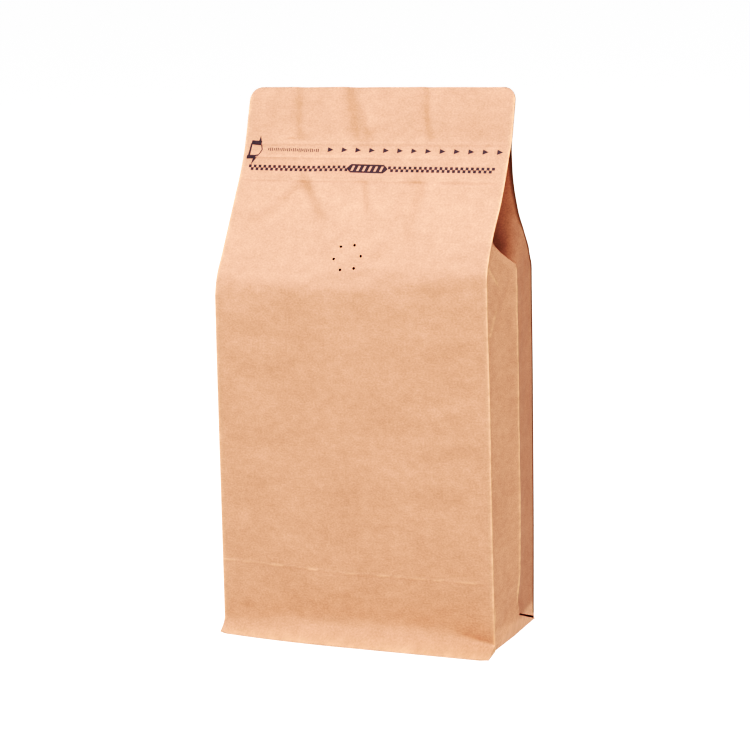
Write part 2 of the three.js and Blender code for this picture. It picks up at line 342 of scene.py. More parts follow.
front_right = through(FRONT_RIGHT_SEAM)
front_left = through(FRONT_LEFT_SEAM)
seam_depth = through(SEAM_DEPTH)
front_crown = through(((0, 1.8), (40, 2.6), (140, 2.6), (200, 0.8), (CLOSED, 0), (TOP, 0)))
lip_rise = through(
    ((-HALF_WIDTH, 8), (-45, 12), (0, 14.5), (42, 11.5), (58, 6.4), (HALF_WIDTH, 3.2))
)
back_crown = through(((0, 1), (40, 3), (140, 3), (190, 0), (TOP, 0)))
back_pinch = through(((0, 0), (190, 0), (217, 3), (CLOSED, 0), (TOP, 0)))
fin_width = through(((0, 0.5), (25, FIN_WIDTH), (TUCK_START, FIN_WIDTH), (195, 0.7), (TOP, 0.2)))
ridge_out = through(
    ((0, 0.3), (FACET_HEIGHT, 2.4), (17, 1.6), (30, 3), (65, RIDGE), (TUCK_START, RIDGE), (TOP, RIDGE))
)


def bump(distance, half_width):
    """A rounded rise of height 1 that ends at half_width."""
    return smooth(1 - np.abs(distance) / half_width)


def folds(a, z, table):
    """The depth outwards that soft folds give at place a across a panel and height z."""
    total = np.zeros(np.broadcast(a, z).shape)
    for a_start, z_start, a_end, z_end, half_width, depth in table:
        run, climb = a_end - a_start, z_end - z_start
        length = math.hypot(run, climb)
        along = ((a - a_start) * run + (z - z_start) * climb) / length
        across = ((a - a_start) * climb - (z - z_start) * run) / length
        beyond = np.maximum(np.maximum(-along, along - length), 0)
        total += depth * np.exp(-(across**2 + beyond**2) / half_width**2)
    return total


def crumple(a, z, seed, size, waves=26):
    """Gentle seeded unevenness of height about 1, with features about `size` wide."""
    chance = np.random.default_rng(seed)
    total = np.zeros(np.broadcast(a, z).shape)
    for _ in range(waves):
        angle = chance.uniform(0, math.pi)
        wave = 2 * math.pi / (size * chance.uniform(0.7, 1.9))
        phase = chance.uniform(0, 2 * math.pi)
        total += np.sin(wave * (a * math.cos(angle) + z * math.sin(angle)) + phase)
    return total * math.sqrt(2 / waves) / 1.6


# ---------------------------------------------------------------- panels and gussets


def lip_flare(x, z):
    """How far the front has curved out into the lip: 0 on the panel, 1 at the lip's edge."""
    return clamp01(1 - (z - FILM) / lip_rise(x)) ** LIP_CURVE


def lip_edge(x):
    """y of the lip's front edge on the floor."""
    share = x / HALF_WIDTH
    corner = rising(np.abs(share), 0.94, 0.06) * LIP_CORNER
    left = LIP_FRONT + LIP_LEFT_SETBACK * share**2 + corner
    right = LIP_FRONT - LIP_RIGHT_ADVANCE * share + corner
    return np.where(share < 0, left, right)


def seam_front(x, z):
    """y of the plane through both front seams, which the panels and the flap follow."""
    return mix(front_left(z), front_right(z), (x + HALF_WIDTH) / (2 * HALF_WIDTH))


def from_seam(x):
    """Distance inwards from the nearer edge seam."""
    return HALF_WIDTH - np.abs(x)


def off_seams(x):
    """0 at a panel's edge seams, which hold the paper flat, and 1 away from them."""
    return rising(from_seam(x), 0, SEAM_FADE)


def zip_press(z):
    """How free the paper is to be uneven: the zip and its seals hold it flatter."""
    return 1 - 0.6 * rising(z, 208, 6)


def crease_height(x):
    """The bottom crease bends a little and falls towards the right."""
    return BOTTOM_CREASE + 0.5 - 0.018 * (x + 10) - 0.5 * np.exp(-(((x + 6) / 14) ** 2))


def front_relief(x, z):
    """Everything that lifts the front panel's paper off its filled form, outwards."""
    tilted = z - TOP_TILT * x / 2
    lines = sum(ZIP_LINE_RISE * bump(tilted - line, ZIP_LINE_HALF) for line in ZIP_LINES)
    band = rising(z, ZIP_LINES[0], ZIP_BAND_EDGE) * falling(z, ZIP_LINES[1] + 0.6, ZIP_BAND_EDGE)
    from_valve = np.hypot(x - VALVE[0], z - VALVE[1])
    disc = falling(from_valve, VALVE_RADIUS, 2.4) - bump(from_valve - VALVE_RADIUS, 2.6)
    crease = CREASE_RISE * bump(z - crease_height(x), 1.1) * rising(from_seam(x), 0, 3)
    filled = rising(z, 10, 20) * falling(z, SHOULDER, 14)
    near_seam = 1 - rising(from_seam(x), 0, 24)
    ripple = filled * near_seam * 0.12 * crumple(x * 0.35, z, 11, 9)
    uneven = 0.13 * crumple(x * 0.7, z, 3, 19) + 0.05 * crumple(x * 0.8, z, 5, 8)
    held = lines + ZIP_BAND_RISE * band + ripple + uneven * zip_press(z) + folds(x, z, FRONT_FOLDS)
    return VALVE_RISE * disc + crease + off_seams(x) * held


def front_y(x, z):
    crown = front_crown(z) * (1 - (x / HALF_WIDTH) ** 2)
    panel = seam_front(x, z) - crown - front_relief(x, z) * rising(z, 0, FLOOR_FADE)
    return mix(panel, lip_edge(x), lip_flare(x, z))


def back_y(x, z):
    crown = back_crown(z) * (1 - (x / HALF_WIDTH) ** 2)
    pinch = back_pinch(z) * clamp01(1 - (x / 34) ** 2) ** 2
    uneven = 0.12 * crumple(x, z, 21, 20) + 0.05 * crumple(x, z, 23, 8)
    lines = sum(ZIP_LINE_RISE * bump(z - line, ZIP_LINE_HALF) for line in ZIP_LINES[:2])
    own = folds(x, z, BACK_FOLDS) + uneven * zip_press(z) + lines
    # The flap's two layers are sealed together, so its back follows its front's folds.
    relief = off_seams(x) * mix(own, -folds(x, z, FRONT_FOLDS), rising(z, *FLAP_FOLLOW))
    return seam_front(x, z) + seam_depth(z) + crown - pinch + relief * rising(z, 0, FLOOR_FADE)


def film_at(z):
    """Thickness of the sealed edges."""
    return np.minimum(FILM, seam_depth(z) / FILM_ROOM)


def half_width(z):
    """The panels' half width, which the flap's round corners narrow."""
    above = np.clip(z - (TOP - TOP_CORNER), 0, TOP_CORNER)
    return HALF_WIDTH - TOP_CORNER + np.sqrt(TOP_CORNER**2 - above**2)


def fold_line(z, side):
    """x and y of a gusset's middle fold: out at the ridge below, drawn inwards over the tuck's start."""
    middle = seam_front(side * HALF_WIDTH, z) + seam_depth(z) / 2
    outer = HALF_WIDTH + ridge_out(z)
    half_gap = np.minimum(seam_depth(np.maximum(z, TUCK_FULL)) / 2, GUSSET_HALF)
    inner = HALF_WIDTH - np.sqrt(GUSSET_HALF**2 - half_gap**2)
    return mix(outer, inner, clamp01((z - TUCK_START) / TUCK_DIVE)), middle


def softened(part, reach):
    """Averages every point of a grid with those in the rows around it."""
    padded = np.pad(part, ((reach, reach), (0, 0)), mode="edge")
    window = np.hanning(2 * reach + 3)[1:-1]
    window /= window.sum()
    return sum(weight * padded[start : start + len(part)] for start, weight in enumerate(window))


def gusset_sheet(rows, share, side, back):
    """x, y, z of one half of a gusset as smooth paper, and the distance from its seam to its fold.

    share is 0 at the sealed edge's root and 1 at the middle fold.
    """
    seam_z = rows["back"] if back else rows["front"]
    fold_z = rows["fold"]
    start, depth = seam_front(side * HALF_WIDTH, seam_z), seam_depth(seam_z)
    root_y = start + depth - film_at(seam_z) if back else start + film_at(seam_z)
    root_x = half_width(seam_z) - (EDGE_ROUND if back else fin_width(seam_z))
    fold_x, fold_y = fold_line(fold_z, side)
    flap = seam_z >= CLOSED
    fold_x = np.where(flap, half_width(seam_z) - FLAP_FOLD_INSET, fold_x)
    fold_y = np.where(flap, start + depth / 2, fold_y)

    # The fold is rounded, so the last millimetre bends over.
    tiny = 1e-6
    reach = np.abs(fold_y - root_y) + tiny
    to_fold = (1 - share) * reach
    rounding = RIDGE_ROUND * (seam_z < TUCK_FULL)
    length = np.sqrt(reach**2 + rounding**2) - rounding + tiny / 1000
    bent = 1 - (np.sqrt(to_fold**2 + rounding**2) - rounding) / length
    # The paper near the crease is nipped outwards.
    nip = PINCH * rising(fold_z, 14, 16) * falling(fold_z, TUCK_START, 4)
    near_fold = clamp01(1 - to_fold / PINCH_REACH) ** 2
    x = mix(root_x, fold_x - nip, bent) + nip * near_fold * bent
    return x, mix(root_y, fold_y, share), mix(seam_z, fold_z, share), reach


def gusset_half(rows, share, side, back):
    """x, y, z of one half of a gusset, with its dents, its tuck and the slit over the small triangle."""
    x, y, z, reach = gusset_sheet(rows, share, side, back)
    seam_z = rows["back"] if back else rows["front"]

    # On the back half the paper bends into the tuck gently.
    if back:
        loose = falling(share, 1, 0.3) * rising(share, 0, 0.2)
        loose = loose * rising(seam_z, 160, 12) * falling(seam_z, 222, 12)
        x, y, z = (part + loose * (softened(part, TUCK_SOFT_ROWS) - part) for part in (x, y, z))

    # Dents fade at the seam and at the floor. Inside the tuck the paper is uneven along y instead.
    place = share * reach
    held = rising(share, 0, 0.2) * rising(rows["fold"], 6, 12) * (1 - rising(seam_z, 186, 4))
    uneven = 0.12 * crumple(place, z, 31 + 2 * side + back, 13)
    x = x + held * (folds(place, z, GUSSET_FOLDS) * (0.6 if back else 1) + uneven)
    inward = rising(seam_z, TUCK_FULL, 8) * falling(seam_z, 228, 8) * np.sin(share * math.pi)
    y = y + inward * 0.35 * crumple(place, z, 41 + 2 * side + back, 16)

    # The tucked layers lie between the twisted panels, and follow the folds of the one that they lie on.
    y = y + seam_front(side * x, z) - seam_front(side * HALF_WIDTH, z)
    by_front, by_back = rising(z, 198, 10), rising(z, *FLAP_FOLLOW)
    own, other = (by_back, by_front) if back else (by_front, by_back)
    follow = off_seams(x) * mix(own, (own + other) / 2, share) * (seam_z < CLOSED)
    y = y - follow * folds(side * x, z, FRONT_FOLDS)

    # An open slit runs over the small triangle's back edge.
    if back:
        x = x - FACET_SLIT * rows["slit"] * falling(share, 1.02, 0.12)
        x = x + FACET_BACK_SPREAD * rows["spread"] * (1 - share) ** 2
    return side * x, y, z


def row_heights():
    """The mesh's rows from the floor up, as columns of heights at the front seam, back seam and fold.

    With them go the share of the slit's depth and of the triangle's spread that each row takes.
    """
    facet = np.linspace(0, 1, 5)
    low_front = np.concatenate([facet * 0.4, [0.43, 0.47, 0.5]])
    low_back = np.concatenate([facet * (FACET_BACK_RISE - 1), [0.55, 1.42, FACET_BACK_RISE]])
    low_fold = np.concatenate([facet * (FACET_HEIGHT - 0.7), [10.1, 10.6, FACET_HEIGHT]])
    low_slit = [0, 0, 0, 0, 0, 1, 1, 0]
    low_spread = [1, 1, 1, 1, 1, 0.5, 0, 0]
    body = np.concatenate(
        [
            np.arange(0.95, 9, 0.5),
            np.arange(9.4, 30.5, 1.3),
            np.arange(30.8, 35.4, 0.45),
            np.arange(36.2, 156, 1.5),
            np.arange(156.6, TUCK_FULL, 0.85),
        ]
    )
    tuck = np.concatenate(
        [np.arange(TUCK_FULL, 209, 0.9), np.arange(209.4, 226, 0.45), np.arange(226.4, 231.8, 0.6)]
    )
    round_corner = np.sin(np.radians([0, 12, 24, 36, 47, 57, 66, 74, 81, 86, 89.4]))
    flap = np.concatenate(
        [np.arange(CLOSED, TOP - TOP_CORNER, 1.1), TOP - TOP_CORNER + TOP_CORNER * round_corner]
    )
    floor = 0.5
    back_rise = (FACET_BACK_RISE - floor) * (1 - rising(body, floor, 22))
    # Low down the fold runs ahead of the seams, and near the tuck it lags behind them.
    ahead = (FACET_HEIGHT - floor) * (1 - rising(body, floor, 60))
    lag = (TUCK_FULL - TUCK_START) * clamp01((body - 110) / (TUCK_FULL - 110)) ** 1.6
    climb = (tuck - TUCK_FULL) / (CLOSED - TUCK_FULL)
    fold_tuck = TUCK_START + (CLOSED - TUCK_START) * climb**1.3
    above = np.zeros(len(body) + len(tuck) + len(flap))
    rows = {
        "front": [low_front, body, tuck, flap],
        "back": [low_back, body + back_rise, tuck, flap],
        "fold": [low_fold, body + ahead - lag, fold_tuck, flap],
        "slit": [low_slit, above],
        "spread": [low_spread, above],
    }
    return {name: np.concatenate(parts)[:, None] for name, parts in rows.items()}


def fin(rows, side, back):
    """The sealed edge, from the panel round its thickness to the gusset's root."""
    seam_z = rows["back"] if back else rows["front"]
    edge = half_width(seam_z)
    start = seam_front(side * HALF_WIDTH, seam_z)
    outer = start + seam_depth(seam_z) if back else start
    inner = outer - film_at(seam_z) if back else outer + film_at(seam_z)
    if back:
        out = FACET_BACK_SPREAD * rows["spread"] - FACET_SLIT * rows["slit"]
        fin_x = np.hstack([edge, edge, edge - EDGE_ROUND]) + out
    else:
        fin_x = np.hstack([edge + 0.06, edge + 0.06, edge])
    fin_y = np.hstack([mix(outer, inner, 0.25), mix(outer, inner, 0.75), inner])
    return side * fin_x, fin_y, np.repeat(seam_z, 3, axis=1)


def gusset(rows, side, across):
    """Both halves of a gusset, from the front seam to the back seam."""
    near = gusset_half(rows, across, side, False)
    far = gusset_half(rows, across, side, True)
    return [np.hstack([part, back_part[:, ::-1][:, 1:]]) for part, back_part in zip(near, far)]


def underside(rim):
    """Rows from the middle of the base to its rim: a shallow recess, then a narrow rim on the floor."""
    middle = np.array([0.0, (rim[:, 1].min() + rim[:, 1].max()) / 2, 0.0])
    rings = []
    for shrink, rise in ((0.3, BASE_RECESS), (0.86, BASE_RECESS), (0.9, 0.0)):
        ring = middle + (rim - middle) * shrink
        ring[:, 2] = rise
        rings.append(ring)
    return np.array(rings)


def shell_grid(front_columns, back_columns, gusset_columns):
    """The whole shell as rows of columns, the last column on the first.

    Gives its points, their places along and up the flat sheet, and 1 where a point is on a gusset.
    """
    rows = row_heights()
    front_x = np.linspace(-1, 1, front_columns + 1) * half_width(rows["front"])
    spread = LIP_SPREAD * clamp01(front_x / HALF_WIDTH) * lip_flare(front_x, rows["front"])
    back_x = np.linspace(1, -1, back_columns + 1) * half_width(rows["back"])
    # Columns crowd towards the fold.
    across = 1 - (1 - np.linspace(0, 1, gusset_columns + 1)) ** 1.35

    def backwards(strip):
        return [part[:, ::-1] for part in strip]

    strips = [
        (front_x + spread, front_y(front_x, rows["front"]), rows["front"]),
        fin(rows, 1, False),
        gusset(rows, 1, across),
        backwards(fin(rows, 1, True)),
        (back_x, back_y(back_x, rows["back"]), rows["back"]),
        fin(rows, -1, True),
        backwards(gusset(rows, -1, across)),
        backwards(fin(rows, -1, False)),
    ]
    strips = [np.stack(np.broadcast_arrays(*strip), axis=2) for strip in strips]
    strips.append(strips[0][:, :1])
    grid = np.concatenate(strips, axis=1)
    grid[:, :, 2] += TOP_TILT * grid[:, :, 0] * rising(grid[:, :, 2], SHOULDER, TOP - SHOULDER)
    base = underside(grid[0])
    flat_up = np.concatenate([[-24, -6, -3], rows["front"][:, 0]])
    middle_row = len(rows["front"]) // 2

    grid = np.concatenate([base, grid], axis=0)
    step = np.linalg.norm(np.diff(grid[middle_row], axis=0), axis=1)
    flat_along = np.concatenate([[0], np.cumsum(step)])
    in_gusset = np.zeros(grid.shape[:2])
    column = 0
    for number, strip in enumerate(strips):
        in_gusset[len(base) :, column : column + strip.shape[1]] = number in (2, 6)
        column += strip.shape[1]
    return grid, flat_along, flat_up, in_gusset


def to_frame(points):
    """Shape coordinates in millimetres to the frame's metres."""
    return (points + np.array([0.0, ROW_SHIFT, 0.0])) * MM


# ---------------------------------------------------------------- modelling helpers

SMOOTH_ANGLE = math.radians(35)


def only(obj):
    """Selects obj alone and makes it active."""
    bpy.ops.object.select_all(action="DESELECT")
    obj.select_set(True)
    bpy.context.view_layer.objects.active = obj


def finish_piece(obj, material=None):
    """Puts the place into the mesh, smooths it and hands it to the frame.

    A piece keeps its own materials where none is given.
    """
    only(obj)
    bpy.ops.object.transform_apply(location=True, rotation=True, scale=True)
    bpy.ops.object.shade_smooth_by_angle(angle=SMOOTH_ANGLE)
    if material is not None:
        obj.data.materials.clear()
        obj.data.materials.append(material)
    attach(obj, "root")


def apply_modifier(obj, kind, **settings):
    only(obj)
    modifier = obj.modifiers.new(kind.lower(), kind)
    for name, value in settings.items():
        setattr(modifier, name, value)
    bpy.ops.object.modifier_apply(modifier=modifier.name)


# ---------------------------------------------------------------- materials


def linear(hex_colour):
    """An sRGB hex colour as the linear red, green, blue and alpha that a shader reads."""
    channels = [(hex_colour >> shift & 255) / 255 for shift in (16, 8, 0)]
    return [c / 12.92 if c <= 0.04045 else ((c + 0.055) / 1.055) ** 2.4 for c in channels] + [1.0]


def add_node(tree, kind, settings=(), links=()):
    """Adds a node, sets its properties and sockets, and links sources into its inputs."""
    node = tree.nodes.new(kind)
    for name, value in dict(settings).items():
        if isinstance(name, str) and hasattr(node, name):
            setattr(node, name, value)
        else:
            node.inputs[name].default_value = value
    for name, source in dict(links).items():
        tree.links.new(source, node.inputs[name])
    return node


def opaque(colour):
    return tuple(colour) + (1.0,)


def new_material(name):
    material = bpy.data.materials.new(name)
    material.use_nodes = True
    material.node_tree.nodes.clear()
    return material, material.node_tree


# The paper's grain, as scale per metre, detail, roughness and weight. Clouds of denser pulp are 20 mm
# wide and flocks of fibres 4 mm. The fibres are about 0.03 mm thick, and are drawn 0.7 mm wide, the
# finest that still shows.
GRAIN = {
    "cloud": (50, 3, 0.55, 0.2),
    "flock": (260, 2, 0.6, 0.24),
    "fibre": (1400, 3, 0.75, 0.7),
}
ACROSS_STRETCH = 0.75  # fibres lie mostly across the bag


def kraft_paper(colours):
    """Uncoated kraft paper film: cloudy pulp, fine fibres that lie mostly across, folds pale from scuffing
    and painted highlights.
    """
    material, tree = new_material("kraft_paper_uncoated")
    place = add_node(tree, "ShaderNodeUVMap", {"uv_map": "flat_sheet"}).outputs["UV"]
    # Painted light and shade on the gussets, pale scuffing with painted highlights, cut film with painted
    # shade.
    painted = {
        name: add_node(tree, "ShaderNodeAttribute", {"attribute_name": name}).outputs["Fac"]
        for name in ("tone", "wear", "cut_edge")
    }
    grain = {}
    for name, (scale, detail, roughness, _) in GRAIN.items():
        stretch = {"Scale": (scale * ACROSS_STRETCH, scale, 1.0)}
        stretched = add_node(tree, "ShaderNodeMapping", stretch, {"Vector": place})
        settings = {"Scale": 1.0, "Detail": detail, "Roughness": roughness}
        links = {"Vector": stretched.outputs["Vector"]}
        grain[name] = add_node(tree, "ShaderNodeTexNoise", settings, links).outputs["Fac"]

    # The grain's shade is 1 on average. The gussets carry painted light and shade on top of it.
    shade = None
    for name, (_, _, _, weight) in GRAIN.items():
        settings = {"operation": "MULTIPLY_ADD", 1: weight}
        links = {0: grain[name]}
        if shade is None:
            settings[2] = 1 - 0.5 * sum(layer[3] for layer in GRAIN.values())
        else:
            links[2] = shade
        shade = add_node(tree, "ShaderNodeMath", settings, links).outputs["Value"]
    grain_and_painted_light = add_node(
        tree, "ShaderNodeMath", {"operation": "MULTIPLY"}, {0: shade, 1: painted["tone"]}
    )
    tinted = add_node(
        tree,
        "ShaderNodeVectorMath",
        {"operation": "SCALE", 0: tuple(colours.paper)},
        {"Scale": grain_and_painted_light.outputs["Value"]},
    )
    # Folds, sealed edges, the crease and the lip are paler, unevenly: partly scuffed, partly painted
    # highlights.
    patchy_paleness = add_node(
        tree,
        "ShaderNodeMapRange",
        {"From Min": 0.35, "From Max": 0.65, "To Min": 0.5},
        {"Value": grain["flock"]},
    )
    worn_and_highlight = add_node(
        tree,
        "ShaderNodeMath",
        {"operation": "MULTIPLY", "use_clamp": True},
        {0: painted["wear"], 1: patchy_paleness.outputs["Result"]},
    )
    rubbed_and_highlit = add_node(
        tree,
        "ShaderNodeMix",
        {"data_type": "RGBA", 7: opaque(colours.worn_and_highlight_paper)},
        {0: worn_and_highlight.outputs["Value"], 6: tinted.outputs["Vector"]},
    )
    # The cut edge shows the laminated film between the papers; down the back's sealed edges its dark band
    # is painted shade as well.
    colour = add_node(
        tree,
        "ShaderNodeMix",
        {"data_type": "RGBA", 7: opaque(colours.cut_edge)},
        {0: painted["cut_edge"], 6: rubbed_and_highlit.outputs[2]},
    )
    height = add_node(
        tree,
        "ShaderNodeMath",
        {"operation": "MULTIPLY_ADD", 1: 0.6},
        {0: grain["fibre"], 2: grain["flock"]},
    )
    relief = add_node(
        tree,
        "ShaderNodeBump",
        {"Strength": 0.6, "Distance": 0.12 * MM},
        {"Height": height.outputs["Value"]},
    )
    rough = add_node(
        tree, "ShaderNodeMapRange", {"To Min": 0.65, "To Max": 0.85}, {"Value": grain["fibre"]}
    )
    shader = add_node(
        tree,
        "ShaderNodeBsdfPrincipled",
        {"IOR": 1.5, "Specular IOR Level": 0.15},
        {
            "Base Color": colour.outputs[2],
            "Roughness": rough.outputs["Result"],
            "Normal": relief.outputs["Normal"],
        },
    )
    add_node(tree, "ShaderNodeOutputMaterial", {}, {"Surface": shader.outputs["BSDF"]})
    return material


def sunk_ink(colours):
    """Flexographic ink that has sunk into the paper: nearly matt, a little uneven."""
    name = "sunk_printing_ink"
    if name in bpy.data.materials:
        return bpy.data.materials[name]
    material, tree = new_material(name)
    place = add_node(tree, "ShaderNodeTexCoord").outputs["Object"]
    uneven = add_node(
        tree, "ShaderNodeTexNoise", {"Scale": 900, "Detail": 3, "Roughness": 0.65}, {"Vector": place}
    )
    colour = add_node(
        tree,
        "ShaderNodeMix",
        {"data_type": "RGBA", 6: opaque(colours.ink), 7: opaque(colours.thin_ink)},
        {0: uneven.outputs["Fac"]},
    )
    shader = add_node(
        tree,
        "ShaderNodeBsdfPrincipled",
        {"IOR": 1.5, "Roughness": 0.6},
        {"Base Color": colour.outputs[2]},
    )
    add_node(tree, "ShaderNodeOutputMaterial", {}, {"Surface": shader.outputs["BSDF"]})
    return material


def shadowed_hole():
    """The cut wall of a pinhole: bare inner film, coloured dark as painted shade, since the hole is so
    narrow.
    """
    material, tree = new_material("pinhole_wall")
    # Near black: painted shade inside the narrow hole.
    settings = {"Base Color": linear(0x1C1412), "Roughness": 0.7, "IOR": 1.5}
    shader = add_node(tree, "ShaderNodeBsdfPrincipled", settings)
    add_node(tree, "ShaderNodeOutputMaterial", {}, {"Surface": shader.outputs["BSDF"]})
    return material


def pale_floor(tint, glow):
    """A matt light table: opal white, lit a little from below."""
    material, tree = new_material("opal_floor")
    settings = {
        "Base Color": opaque(tint),
        "Roughness": 0.9,
        "Emission Color": (1.0, 1.0, 1.0, 1.0),
        "Emission Strength": glow,
    }
    shader = add_node(tree, "ShaderNodeBsdfPrincipled", settings)
    add_node(tree, "ShaderNodeOutputMaterial", {}, {"Surface": shader.outputs["BSDF"]})
    return material


# ---------------------------------------------------------------- settings


def colour_property(name, description, hex_colour):
    return FloatVectorProperty(
        name=name,
        description=description,
        subtype="COLOR",
        size=3,
        min=0,
        max=1,
        default=linear(hex_colour)[:3],
    )


def count_property(name, description, default, fewest):
    return IntProperty(name=name, description=description, default=default, min=fewest)


def depth_property(name, description, default):
    return FloatProperty(
        name=name, description=description, default=default, unit="LENGTH", precision=6
    )


def power_property(name, description, default):
    return FloatProperty(name=name, description=description, default=default, unit="POWER", min=0)


def strength_property(name, description, default):
    return FloatProperty(name=name, description=description, default=default, min=0)


class CoffeeBagMesh(bpy.types.PropertyGroup):
    front_columns: count_property("Front Columns", "Columns of faces across the front panel", 140, 20)
    back_columns: count_property("Back Columns", "Columns of faces across the back panel", 70, 12)
    gusset_columns: count_property(
        "Gusset Columns", "Columns of faces from a seam to the gusset's fold", 24, 6
    )
    ink_lift: depth_property("Ink Lift", "How far the ink's underside stands off the paper", 0.03 * MM)
    ink_thickness: depth_property("Ink Thickness", "Thickness of the ink", 0.03 * MM)


class CoffeeBagColours(bpy.types.PropertyGroup):
    paper: colour_property("Paper", "Kraft paper", 0xB99280)
    # Colour of pale scuffing on folds and edges, and of painted highlights on them.
    worn_and_highlight_paper: colour_property("Worn And Highlit Paper", "Pale paper of scuffed folds and painted highlights", 0xE3B89A)
    # Colour of the cut film, and of the painted shade down the back's sealed edges.
    cut_edge: colour_property("Cut Edge And Shade", "Layers of film at the cut edges, with painted shade down the back's edges", 0x6E5646)
    ink: colour_property("Ink", "Dark printing ink", 0x3E3238)
    thin_ink: colour_property("Thin Ink", "Ink where it is thin", 0x5A4B50)
    floor: colour_property("Floor", "Pale floor", 0x6C6C6C)


class CoffeeBagStage(bpy.types.PropertyGroup):
    floor_glow: strength_property("Floor Glow", "Light that the floor gives by itself", 0.975)
    key_power: power_property("Key Power", "Soft light over the front", 34.5)
    top_power: power_property("Top Power", "Soft light overhead", 37.0)
    fill_power: power_property("Fill Power", "Weak soft light beside the camera", 5.0)
    right_power: power_property("Right Power", "Soft light at the right", 13.0)
    left_power: power_property("Left Power", "Soft light behind the left side", 14.0)
    back_power: power_property("Back Power", "Soft light behind", 15.0)
    sky: strength_property("Sky", "Strength of the even light from all round", 0.02)


# ---------------------------------------------------------------- the paper

# Paleness along a line, partly scuffing and partly painted highlight, as its strength and half width.
FOLD_WEAR_AND_HIGHLIGHT = (0.85, 0.75)
SEAM_WEAR_AND_HIGHLIGHT = (0.7, 0.7)
CREASE_WEAR_AND_HIGHLIGHT = (0.42, 0.42)
LIP_WEAR_AND_HIGHLIGHT = 0.35

# Painted light and shade on a gusset's paper, where the panels have 1 and a higher number is paler.
FRONT_HALF_PAINTED_LIGHT = 1.09
BACK_HALF_PAINTED_SHADE = 0.925
FACET_PAINTED_LIGHT = 1.24
TUCK_PAINTED_SHADE_AND_LIGHT = (0.88, 1.22)  # low in the tuck and at its top
TUCK_PAINTED_CHANGE = (196, 26)  # from this height, over this height, the first passes into the second

# How far the cut film shows, and the painted shade down the back's sealed edges.
RIM_FILM = 0.15
BACK_EDGE_FILM_AND_SHADE = 0.9


def line_of(distance, strength, half_width):
    """A line of a given strength that fades with the distance from it."""
    return strength * np.exp(-((distance / half_width) ** 2))


def wear_and_highlight_of(x, y, z):
    """How pale the paper is, partly scuffed and partly painted highlight: the gussets' folds, the sealed
    edges, the bottom crease, the lip's edge.
    """
    fold_y = fold_line(z, np.sign(x))[1]
    front = seam_front(x, z)
    # Along the gusset's ridge: a painted highlight, with scuffing.
    on_fold = line_of(y - fold_y, *FOLD_WEAR_AND_HIGHLIGHT) * (from_seam(x) < 1)
    on_fold *= rising(z, 12, 8) * falling(z, 176, 3)
    on_edge = line_of(from_seam(x), *SEAM_WEAR_AND_HIGHLIGHT) * (np.abs(y - front - 0.2) < 0.8)
    crease = line_of(z - crease_height(x), *CREASE_WEAR_AND_HIGHLIGHT) * (y < front + 1)
    spots = clamp01(0.45 + 0.75 * crumple(x, z, 77, 9))
    # The flared lip is painted paler: painted light where it turns up, with scuffing at its edge.
    lip = LIP_WEAR_AND_HIGHLIGHT * lip_flare(x, z) ** 2 * (y < front - 3)
    on_gusset = (from_seam(x) < 0.4) & (y < fold_y)
    creased = on_gusset * folds(y - front, z, GUSSET_CREASES)
    return clamp01(on_fold + on_edge + crease * spots + lip + creased)


def painted_light_and_shade_of(x, y, z):
    """A gusset's painted light and shade: lighter on its front half, darker on its back half and low in
    the tuck.
    """
    fold_y = fold_line(z, np.sign(x))[1]
    outside = mix(FRONT_HALF_PAINTED_LIGHT, BACK_HALF_PAINTED_SHADE, rising(y, fold_y - 0.6, 1.2))
    outside = mix(outside, FACET_PAINTED_LIGHT, falling(z, FACET_HEIGHT, 4))
    tucked = (z > TUCK_START) & (from_seam(x) > 0.7)
    return np.where(tucked, mix(*TUCK_PAINTED_SHADE_AND_LIGHT, rising(z, *TUCK_PAINTED_CHANGE)), outside)


def cut_edge_and_shade_of(x, y, z):
    """How far the cut film shows: a little on the flap's rim; more down the back's sealed edges, as a band
    of painted shade.
    """
    z = z - TOP_TILT * x * rising(z, SHOULDER, TOP - SHOULDER)
    depth = seam_depth(z)
    behind = y - seam_front(x, z)
    in_thickness = (behind > 0.02) & (behind < depth - 0.02)
    rim = in_thickness & (z > CLOSED) & ((np.abs(x) > half_width(z) - 0.4) | (z > TOP - 0.3))
    # A dark band down the back's sealed edges: painted shade as much as cut film.
    band = (behind > np.maximum(depth - 1.6, 0.55 * depth)) & (from_seam(x) < 1.2)
    back_edge_shade = band & (z > 3) & (z < CLOSED - 1)
    return np.where(rim, RIM_FILM, np.where(back_edge_shade, BACK_EDGE_FILM_AND_SHADE, 0.0))


def drill_pinholes(bag, wall):
    """Cuts six blind pinholes in a ring over the valve, square to the front."""

    def on_front(x, z):
        return Vector((x, float(front_y(np.array(x), np.array(z))), z))

    x, z = VALVE
    step = 1.0
    centre = on_front(x, z)
    up = (on_front(x, z + step) - centre).normalized()
    right = (on_front(x + step, z) - centre).normalized()
    turn = Matrix((right, up, right.cross(up).normalized())).transposed().to_euler()
    drills = []
    for index in range(PINHOLE_COUNT):
        angle = VALVE_TURN + index * 2 * math.pi / PINHOLE_COUNT
        flat = centre + PINHOLE_CIRCLE * (right * math.cos(angle) + up * math.sin(angle))
        hole = on_front(flat.x, flat.z) + Vector((0, ROW_SHIFT, 0))
        bpy.ops.mesh.primitive_cylinder_add(
            vertices=20,
            radius=PINHOLE_RADIUS * MM,
            depth=2 * PINHOLE_DEPTH * MM,
            location=hole * MM,
            rotation=turn,
        )
        drills.append(bpy.context.object)
    for drill in drills:
        drill.select_set(True)
        drill.data.materials.append(wall)
    bpy.ops.object.join()
    drill = bpy.context.object
    bpy.ops.object.transform_apply(location=True, rotation=True, scale=True)
    apply_modifier(
        bag, "BOOLEAN", object=drill, operation="DIFFERENCE", solver="EXACT", material_mode="TRANSFER"
    )
    bpy.data.objects.remove(drill)


